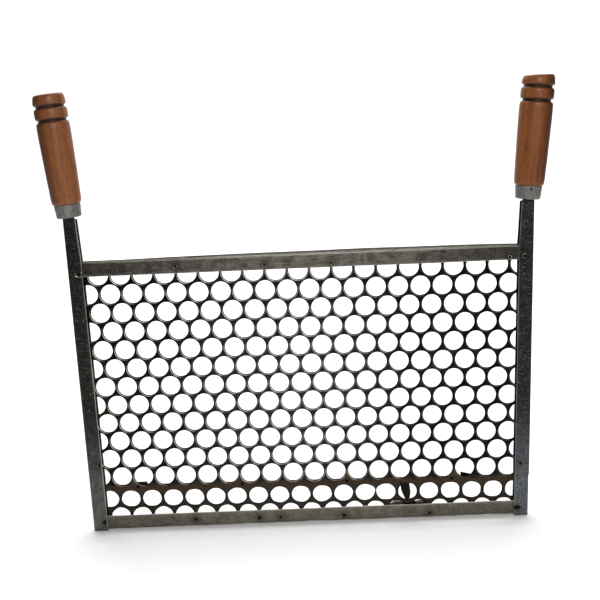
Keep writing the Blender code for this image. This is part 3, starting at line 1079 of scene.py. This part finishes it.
# %% Punched steel
def punched_steel(name, dark, pale):
    """Greasy mill scale, from its dark colour to where it is rubbed pale."""
    material, tree, shader, where = new_material(name)
    cloud = add(tree, "TexNoise", {"Vector": where, "Scale": 1 / (60 * mm), "Detail": 3.0}).outputs[0]
    grime = add(tree, "TexNoise", {"Vector": where, "Scale": 1 / (4 * mm), "Detail": 6.0}).outputs[0]
    grit = add(tree, "TexNoise", {"Vector": where, "Scale": 1 / (0.9 * mm), "Detail": 2.0}).outputs[0]
    middle_sheen = add(tree, "Attribute", attribute_name="middle_sheen").outputs["Fac"]
    greasy = add(tree, "MapRange", {0: grime, 1: 0.35, 2: 0.65, 3: 0.0, 4: 0.14}).outputs[0]
    paler = add(tree, "Math", {0: greasy, 1: middle_sheen}, operation="ADD", use_clamp=True).outputs[0]
    browned = add(tree, "MapRange", {0: cloud, 1: 0.5, 2: 0.75, 3: 0.0, 4: 0.5}).outputs[0]
    scorched = add(tree, "Attribute", attribute_name="scorched").outputs["Fac"]
    scorched = add(tree, "Math", {0: scorched, 1: grime}, operation="MULTIPLY").outputs[0]
    scorched = add(tree, "MapRange", {0: scorched, 1: 0.15, 2: 0.5, 3: 0.0, 4: 1.0}).outputs[0]
    lip_glint = add(tree, "Attribute", attribute_name="lip_glint").outputs["Fac"]
    edge = add(tree, "Attribute", attribute_name="edge").outputs["Fac"]
    scale = linear(dark)
    for share, colour in (
        # greasy patches, and the painted reflection that makes the middle paler
        (paler, pale),
        (browned, "#332b23"),
        (scorched, "#41362d"),
        # painted highlight on the lips, standing in for a lamp's glint
        (lip_glint, "#e0dcd4"),
        (edge, "#0d0c0c"),
    ):
        scale = add(tree, "Mix", {0: share, 6: scale, 7: linear(colour)}, data_type="RGBA").outputs[2]
    rough = add(tree, "MapRange", {0: grime, 1: 0.3, 2: 0.7, 3: 0.36, 4: 0.55}).outputs[0]
    relief = add(tree, "Math", {0: grime, 1: grit}, operation="ADD").outputs[0]
    bump = add(tree, "Bump", {"Height": relief, "Strength": 0.4, "Distance": 0.08 * mm}).outputs[0]
    feed(tree, shader, {"Base Color": scale, "Roughness": rough, "Normal": bump, **old_metal})
    return material


def painted_middle_sheen(point):
    """Painted reflection: paler round the middle of the grate, as if a bright light in front were
    mirrored there.
    """
    out = (point - Vector((-30 * mm, 0, 130 * mm))) / (125 * mm)
    return 0.24 * math.exp(-out.length_squared)


seam_middles = [centre_of(node) for node in weld_lines["seam"][1]]


def seam_scorch(point):
    """Strongest round the welds of the seam, and weaker all along it."""
    height, slope = row_line(seam_row)
    along_seam = 1.1 * bump_at(point.z, height + point.x * math.tan(slope), 6 * mm)
    return max(1.8 * bump_at(weld_distance(point, seam_middles), 0, 12 * mm), along_seam)


for sheet in (upper_sheet, lower_strip):
    paint(sheet, "middle_sheen", painted_middle_sheen)
    paint(sheet, "scorched", seam_scorch)
sheet_steel = punched_steel("mill_scale_sheet", "#050505", "#504e4b")
strip_steel = punched_steel("mill_scale_strip", "#2a2621", "#5f5a52")
finished(upper_sheet, sheet_steel, "punched_steel", "upper_sheet")
finished(lower_strip, strip_steel, "punched_steel", "lower_strip")
for piece in scraps:
    finished(piece, sheet_steel, "punched_steel")

# %% [markdown]
# ## Weld metal
#
# The ring of a crater is clean steel squeezed up by the electrode, nearly bare and quite bright. The
# pit is burnt oxide, which is hardly a metal to the eye: black-brown and matt.

# %% Weld metal
weld_metal, tree, shader, where = new_material("spot_weld_steel")
pit = add(tree, "Attribute", attribute_name="pit").outputs["Fac"]
lumps = add(tree, "TexNoise", {"Vector": where, "Scale": 1 / (0.8 * mm), "Detail": 3.0}).outputs[0]
crater = linear("#6f6b63")
for share, colour in ((lumps, "#b5b1a8"), (pit, "#1a1410")):
    crater = add(tree, "Mix", {0: share, 6: crater, 7: linear(colour)}, data_type="RGBA").outputs[2]
rough = add(tree, "MapRange", {0: pit, 1: 0.0, 2: 1.0, 3: 0.30, 4: 0.75}).outputs[0]
bump = add(tree, "Bump", {"Height": lumps, "Strength": 0.6, "Distance": 0.1 * mm}).outputs[0]
feed(tree, shader, {"Base Color": crater, "Metallic": 1.0, "Roughness": rough, "Normal": bump})
for craters, nodes in weld_lines.values():
    finished(craters, weld_metal, "weld_metal", *nodes)

# %% [markdown]
# ## Varnished wood
#
# The handles are a reddish close-grained hardwood, turned, stained and varnished thin. Its grain is
# two sizes of the same thing: broad streaks of darker and paler wood a few millimetres wide, and
# fine pores like pencil strokes, both stretched along the handle. A few small knots are darker, the
# outer sides carry painted shade, as if the light fell between the handles, and the grooves are
# coloured nearly black.

# %% Varnished wood
def varnished_wood(name, pale, middle, dark, outer_shade, side):
    """Varnished wood, with its grain along the handle of the given side."""
    material, tree, shader, where = new_material(name)
    lean = (0, side * handle_lean, 0)
    upright = add(tree, "Mapping", {0: where, 2: lean}, vector_type="TEXTURE").outputs[0]
    streaks = (1 / (4 * mm), 1 / (4 * mm), 1 / (70 * mm))
    pencil = (1 / (0.7 * mm), 1 / (0.7 * mm), 1 / (9 * mm))
    knots = (1 / (4 * mm), 1 / (4 * mm), 1 / (10 * mm))
    streaks, pencil, knots = [
        add(tree, "Mapping", {0: upright, 3: scale}).outputs[0] for scale in (streaks, pencil, knots)
    ]
    streak = add(tree, "TexNoise", {"Vector": streaks, "Scale": 1.0, "Detail": 5.0, "Distortion": 0.6})
    streak = streak.outputs[0]
    pore = add(tree, "TexNoise", {"Vector": pencil, "Scale": 1.0, "Detail": 2.0}).outputs[0]
    knot = add(tree, "TexNoise", {"Vector": knots, "Scale": 1.0, "Detail": 4.0}).outputs[0]
    bright = add(tree, "MapRange", {0: streak, 1: 0.32, 2: 0.68, 3: 0.0, 4: 1.0}).outputs[0]
    deep = add(tree, "MapRange", {0: streak, 1: 0.26, 2: 0.40, 3: 0.5, 4: 0.0}).outputs[0]
    open_pore = add(tree, "MapRange", {0: pore, 1: 0.52, 2: 0.72, 3: 0.0, 4: 0.55}).outputs[0]
    outer_side_shade = add(tree, "Attribute", attribute_name="outer_side_shade").outputs["Fac"]
    knot = add(tree, "MapRange", {0: knot, 1: 0.66, 2: 0.74, 3: 0.0, 4: 0.85}).outputs[0]
    groove = add(tree, "Attribute", attribute_name="groove").outputs["Fac"]
    wood = linear(middle)
    for share, colour in (
        (bright, pale),
        (deep, dark),
        (open_pore, dark),
        # painted shade on the outer side
        (outer_side_shade, outer_shade),
        (knot, "#2b160c"),
        # the grooves coloured nearly black
        (groove, "#120804"),
    ):
        wood = add(tree, "Mix", {0: share, 6: wood, 7: linear(colour)}, data_type="RGBA").outputs[2]
    rough = add(tree, "MapRange", {0: pore, 1: 0.4, 2: 0.7, 3: 0.36, 4: 0.6}).outputs[0]
    bump = add(tree, "Bump", {"Height": pore, "Strength": 0.35, "Distance": 0.05 * mm}, invert=True)
    feed(tree, shader, {"Base Color": wood, "Roughness": rough, "Normal": bump.outputs[0]})
    feed(tree, shader, {"Specular IOR Level": 0.22, "Coat Weight": 0.1, "Coat Roughness": 0.24})
    return material


woods = {
    "left": varnished_wood("varnished_wood_left", "#8d5630", "#704225", "#3a1e0f", "#4a2714", -1),
    "right": varnished_wood("varnished_wood_right", "#875028", "#6f3d1b", "#391a0a", "#3f1907", 1),
}
for side_name, handle in handles.items():
    finished(handle, woods[side_name], "handle_wood", side_name + "_handle")

# %% [markdown]
# ## Ferrules and tacks
#
# The ferrules are the same galvanised sheet, pressed thinner, and never in the fire: a lighter and
# duller grey with slanting scratches. The tacks are plain blued steel.

# %% Ferrule zinc and tack steel
ferrule_zinc, tree, shader, where = new_material("dull_zinc_ferrule")
slanted = add(tree, "Mapping", {0: where, 2: (0.5, 0.35, 0), 3: (1200, 1200, 90)}).outputs[0]
scratch = add(tree, "TexNoise", {"Vector": slanted, "Scale": 1.0, "Detail": 3.0}).outputs[0]
bloom = add(tree, "TexNoise", {"Vector": where, "Scale": 1 / (3 * mm), "Detail": 5.0}).outputs[0]
both = add(tree, "Math", {0: scratch, 1: bloom}, operation="ADD").outputs[0]
share = add(tree, "MapRange", {0: both, 1: 0.8, 2: 1.2, 3: 0.0, 4: 1.0}).outputs[0]
grey, bloomed = linear("#656462"), linear("#7f7d79")
zinc = add(tree, "Mix", {0: share, 6: grey, 7: bloomed}, data_type="RGBA").outputs[2]
rough = add(tree, "MapRange", {0: bloom, 1: 0.3, 2: 0.7, 3: 0.45, 4: 0.65}).outputs[0]
bump = add(tree, "Bump", {"Height": scratch, "Strength": 0.4, "Distance": 0.06 * mm}).outputs[0]
feed(tree, shader, {"Base Color": zinc, "Metallic": 0.7, "Roughness": rough, "Normal": bump})

tack_steel, tree, shader, where = new_material("blued_tack_steel")
patina = add(tree, "TexNoise", {"Vector": where, "Scale": 1 / (0.8 * mm), "Detail": 3.0}).outputs[0]
blue_black, rubbed_grey = linear("#23211f"), linear("#4d4a46")
blued = add(tree, "Mix", {0: patina, 6: blue_black, 7: rubbed_grey}, data_type="RGBA").outputs[2]
rough = add(tree, "MapRange", {0: patina, 1: 0.3, 2: 0.7, 3: 0.3, 4: 0.5}).outputs[0]
feed(tree, shader, {"Base Color": blued, "Metallic": 1.0, "Roughness": rough})
for side_name in sides:
    finished(ferrules[side_name], ferrule_zinc, "ferrule_zinc", side_name + "_ferrule")
    finished(tacks[side_name], tack_steel, "tack_steel", side_name + "_tack")

# %% [markdown]
# ## Studio
#
# The grate stands on a white sweep: a floor that curves up into a backdrop, so that no horizon
# shows. Flat metal looks like what it faces, so the floor in front of the grate and the dim room
# beyond it decide how dark the steel looks.

# %% Floor and backdrop
floor_end = 1.3
curve = 0.5
sweep_outline = [(-1.7, 0.0), (floor_end, 0.0)]
for angle in (0.2, 0.5, 0.8, 1.1, 1.35, 1.57):
    sweep_outline.append((floor_end + curve * math.sin(angle), curve - curve * math.cos(angle)))
sweep_outline.append((floor_end + curve, 2.2))
bm = bmesh.new()
left_edge, right_edge = [
    [bm.verts.new((x, y, z - 0.1 * mm)) for y, z in sweep_outline] for x in (-2.2, 2.2)
]
for a, b, c, d in zip(left_edge, right_edge, right_edge[1:], left_edge[1:]):
    bm.faces.new((a, b, c, d))
sweep = piece_from(bm, "sweep")
sweep.data.shade_smooth()
paper, tree, shader, where = new_material("white_paper")
fibre = add(tree, "TexNoise", {"Vector": where, "Scale": 4.0, "Detail": 2.0}).outputs[0]
off_white, white = linear("#f4f4f3"), linear("#f9f9f8")
paper_white = add(tree, "Mix", {0: fibre, 6: off_white, 7: white}, data_type="RGBA").outputs[2]
feed(tree, shader, {"Base Color": paper_white, "Roughness": 0.9})
sweep.data.materials.append(paper)


# %% Lights
def soft_light(name, place, target, size, power):
    lamp = bpy.data.lights.new(name, "AREA")
    lamp.shape = "RECTANGLE"
    lamp.size, lamp.size_y = size
    lamp.energy = power
    holder = new_object(name, lamp)
    holder.location = place
    aim = Vector(target) - Vector(place)
    holder.rotation_euler = aim.to_track_quat("-Z", "Y").to_euler()


soft_light("overhead", (0, 1.0, 2.3), (0, 0.9, 0), (2.6, 1.4), 76)
soft_light("glint", (0.9, -1.5, 0.9), (0, 0, 0.15), (0.25, 0.25), 3)
soft_light("key", (0.15, -1.4, 1.0), (0, 0, 0.2), (0.35, 0.5), 12)
world = bpy.data.worlds.new("dim_room")
bpy.context.scene.world = world
world.use_nodes = True
world.node_tree.nodes["Background"].inputs["Color"].default_value = linear("#626262")
world.node_tree.nodes["Background"].inputs["Strength"].default_value = 1.0
bpy.context.scene.view_settings.view_transform = "Standard"

# %% Camera
camera = bpy.data.cameras.new("camera")
camera.lens = 57.5
camera.sensor_width = 36
eye = new_object("camera", camera)
looking = Vector((-0.00965, 0.98386, -0.17870))
roll = math.radians(-2.4)
turn = looking.to_track_quat("-Z", "Y").to_matrix().to_4x4() @ Matrix.Rotation(roll, 4, "Z")
eye.matrix_world = Matrix.Translation((7.5 * mm, -939.7 * mm, 404.7 * mm)) @ turn
bpy.context.scene.camera = eye
